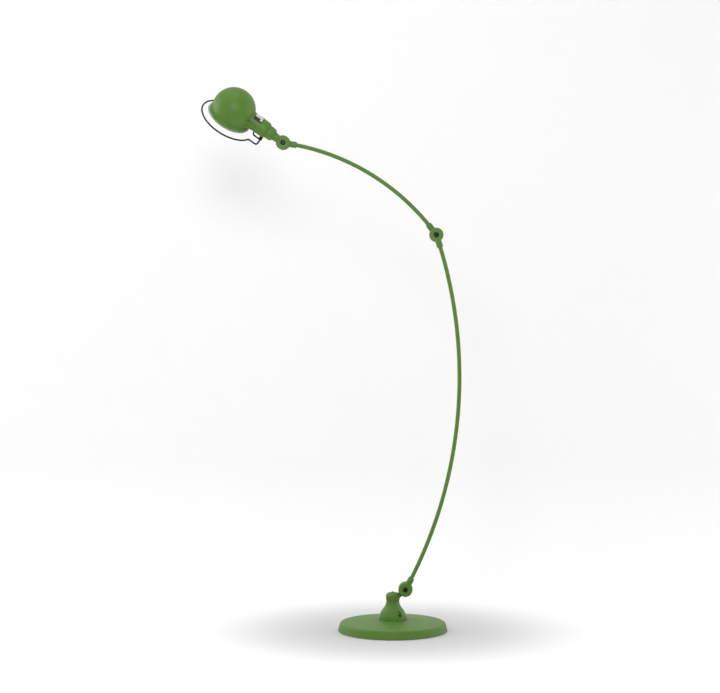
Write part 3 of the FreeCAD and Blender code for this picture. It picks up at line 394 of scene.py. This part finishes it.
def finishes():
    """Every finish, by the record's slot name."""
    return {
        "green_paint": powder_coat("powder_coat"),
        "shade_white": powder_coat("shade_coat", inside=SHADE_MIDDLE),
        "black_metal": black_coat("black_coat"),
        "zinc_steel": plated("zinc_plate"),
        "brass_parts": bare_metal(
            "brass", colour=(0.66, 0.47, 0.2), dark=(0.42, 0.27, 0.11), smoothest=0.22,
            mark_size=0.0005),
        "bulb_shell": bare_metal(
            "cap_aluminium", colour=(0.76, 0.76, 0.78), dark=(0.6, 0.6, 0.62), smoothest=0.2,
            mark_size=0.0004),
        "pad_rubber": soft_pad("pad_rubber"),
        "wire_sleeve": moulded("wire_sleeve", colour=(0.028, 0.028, 0.03), smoothest=0.5),
        "insulator": moulded("insulator", colour=(0.62, 0.6, 0.54), smoothest=0.42),
        "bush_plastic": moulded("bush_plastic", colour=(0.75, 0.74, 0.69), smoothest=0.38),
        "holder_plastic": moulded("holder_plastic", colour=(0.03, 0.03, 0.032), smoothest=0.36),
        "switch_black": moulded(
            "switch_black", colour=(0.016, 0.016, 0.018), smoothest=0.3, gloss=0.35),
        "rocker_silver": lacquered("rocker_silver"),
        "bulb_glass": opal_glass("opal_glass"),
    }


# ------------------------------------------------------------------ operators
class LAMP_OT_finish_frame(Operator):
    """Give every part of the lamp's frame its finish"""

    bl_idname = "lamp.finish_frame"
    bl_label = "Finish Frame"

    def execute(self, context):
        made = finishes()
        for node, part in frame["nodes"].items():
            for slot in part.material_slots:
                slot.material = made[PAINTED_OVER.get(node, SLOT_OF_NODE[node])]
        return {"FINISHED"}


class LAMP_OT_build_stage(Operator):
    """Set up the floor, backdrop, lights and camera"""

    bl_idname = "lamp.build_stage"
    bl_label = "Build Stage"

    def execute(self, context):
        stage = context.scene.lamp_stage
        self.paper = self.paper_material(stage)
        self.build_floor(context, stage)
        self.build_lights(context, stage)
        self.build_camera(context, stage)
        context.scene.view_settings.view_transform = "Standard"
        return {"FINISHED"}

    def build_floor(self, context, stage):
        """A flat floor, and a backdrop that rises from it in a cove."""
        reach, cove = stage.floor_reach, stage.cove
        ground = bmesh.new()
        bmesh.ops.create_grid(ground, x_segments=1, y_segments=1, size=reach)
        self.add_stage_mesh(context, "studio_floor", ground)
        shell = bmesh.new()
        foot = shell.verts.new((-reach, stage.wall_gap - cove, 0))
        turned = bmesh.ops.spin(
            shell, geom=[foot], cent=(-reach, stage.wall_gap - cove, cove), axis=(1, 0, 0),
            angle=math.pi / 2, steps=stage.cove_steps)
        top = [part for part in turned["geom_last"] if isinstance(part, bmesh.types.BMVert)]
        raised = bmesh.ops.extrude_vert_indiv(shell, verts=top)["verts"]
        bmesh.ops.translate(shell, verts=raised, vec=(0, 0, reach))
        widened = bmesh.ops.extrude_edge_only(shell, edges=shell.edges[:])["geom"]
        moved = [part for part in widened if isinstance(part, bmesh.types.BMVert)]
        bmesh.ops.translate(shell, verts=moved, vec=(2 * reach, 0, 0))
        bmesh.ops.recalc_face_normals(shell, faces=shell.faces[:])
        if sum(face.normal.y * face.calc_area() for face in shell.faces) > 0:
            bmesh.ops.reverse_faces(shell, faces=shell.faces[:])
        self.add_stage_mesh(context, "studio_backdrop", shell)

    def add_stage_mesh(self, context, name, shell):
        """Turns a shell into an object of the stage, made of paper."""
        mesh = bpy.data.meshes.new(name)
        shell.to_mesh(mesh)
        shell.free()
        mesh.shade_smooth()
        mesh.materials.append(self.paper)
        surface = bpy.data.objects.new(name, mesh)
        context.collection.objects.link(surface)

    def paper_material(self, stage):
        """Pale paper that reads as white to the eye and still takes a shadow; round the lamp's foot
        a contact shadow is also painted into it.
        """
        finish = Finish("studio_paper", Roughness=0.9, Specular_IOR_Level=0.0)
        fibre = finish.noise(size=0.004, detail=3)
        paper = finish.blend(fibre, scaled(WHITE, 0.885), scaled(WHITE, 0.905))
        # Painted shadow: the paper is painted darker in a ring round the lamp's upright axis,
        # deepest at Shade Start, gone by Shade End, and only near floor level.
        from_axis = finish.vector("LENGTH", finish.stretched((1, 1, 0)), BLACK, "Value")
        dark = finish.add("ShaderNodeMapRange", {"interpolation_type": "SMOOTHERSTEP"}, {
            "Value": from_axis, "From Min": stage.shade_start, "From Max": stage.shade_end,
            "To Min": stage.contact_shade, "To Max": 0.0})
        height = finish.vector("DOT_PRODUCT", finish.place, (0, 0, 1), "Value")
        level = finish.add("ShaderNodeMapRange", {}, {
            "Value": height, "From Min": 0.0, "From Max": FLOOR_SKIN, "To Min": 1.0, "To Max": 0.0})
        shade = 1 - dark * level
        finish.set("Base Color", finish.blend(shade, BLACK, paper))
        path = {name: finish.add("ShaderNodeLightPath", {}, {}, name)
                for name in ("Is Camera Ray", "Is Glossy Ray", "Is Transmission Ray")}
        seen = path["Is Camera Ray"].biggest(path["Is Glossy Ray"])
        seen = seen.biggest(path["Is Transmission Ray"])
        # The painted shadow also dims the plain white that the camera sees.
        white = finish.add("ShaderNodeEmission", {}, {"Color": WHITE, "Strength": shade})
        plain = Wire(finish, finish.shader.outputs[0])
        mixed = finish.mix(seen * stage.white_share, plain, white)
        back = finish.add("ShaderNodeNewGeometry", {}, {}, "Backfacing")
        clear = finish.add("ShaderNodeBsdfTransparent")
        one_sided = finish.mix(back, mixed, clear)
        finish.tree.links.new(one_sided.socket, finish.output.inputs["Surface"])
        return finish.material

    def build_lights(self, context, stage):
        """An even room, plain white where the camera sees it, and the lamps in it."""
        world = bpy.data.worlds.new("room")
        world.use_nodes = True
        tree = world.node_tree
        light = tree.nodes["Background"]
        light.inputs["Color"].default_value = (*WHITE, 1)
        seen = tree.nodes.new("ShaderNodeLightPath")
        strength = tree.nodes.new("ShaderNodeMapRange")
        strength.inputs["To Min"].default_value = stage.world_light
        strength.inputs["To Max"].default_value = 1.0
        tree.links.new(seen.outputs["Is Camera Ray"], strength.inputs["Value"])
        tree.links.new(strength.outputs[0], light.inputs["Strength"])
        context.scene.world = world
        for name, (setting, share, width, place, aim) in STUDIO_LIGHTS.items():
            lamp = bpy.data.lights.new(name, "AREA")
            lamp.energy = getattr(stage, setting) * share
            lamp.shape = "DISK"
            lamp.size = width
            holder = bpy.data.objects.new(name, lamp)
            holder.location = place
            beam = Vector(aim) - Vector(place)
            holder.rotation_euler = beam.to_track_quat("-Z", "Y").to_euler()
            context.collection.objects.link(holder)

    def build_camera(self, context, stage):
        lens = bpy.data.cameras.new("camera")
        lens.lens = stage.focal_length
        lens.sensor_width = SENSOR_WIDTH
        camera = bpy.data.objects.new("camera", lens)
        camera.location = stage.camera_at
        camera.rotation_euler = (stage.camera_tilt, 0, stage.camera_turn)
        context.collection.objects.link(camera)
        context.scene.camera = camera


class LAMP_PT_panel(Panel):
    """Lists the lamp's settings and steps"""

    bl_idname = "LAMP_PT_panel"
    bl_label = "Floor Lamp"
    bl_space_type = "VIEW_3D"
    bl_region_type = "UI"
    bl_category = "Floor Lamp"

    def draw(self, context):
        for group in GROUPS:
            box = self.layout.box()
            settings = getattr(context.scene, group)
            for field in settings.bl_rna.properties:
                if field.identifier not in {"rna_type", "name"}:
                    box.prop(settings, field.identifier)
        for operator in OPERATORS:
            self.layout.operator(operator.bl_idname)


GROUPS = {"lamp_paint": LampPaintSettings, "lamp_trim": LampTrimSettings,
          "lamp_stage": LampStageSettings}
OPERATORS = (LAMP_OT_finish_frame, LAMP_OT_build_stage)


def register():
    for kind in (*GROUPS.values(), *OPERATORS, LAMP_PT_panel):
        bpy.utils.register_class(kind)
    for name, kind in GROUPS.items():
        setattr(bpy.types.Scene, name, PointerProperty(type=kind))


def unregister():
    for name in GROUPS:
        delattr(bpy.types.Scene, name)
    for kind in (LAMP_PT_panel, *reversed(OPERATORS), *reversed(GROUPS.values())):
        bpy.utils.unregister_class(kind)


def main():
    register()
    for operator in OPERATORS:
        group, name = operator.bl_idname.split(".")
        getattr(getattr(bpy.ops, group), name)()


if __name__ == "__main__":
    main()
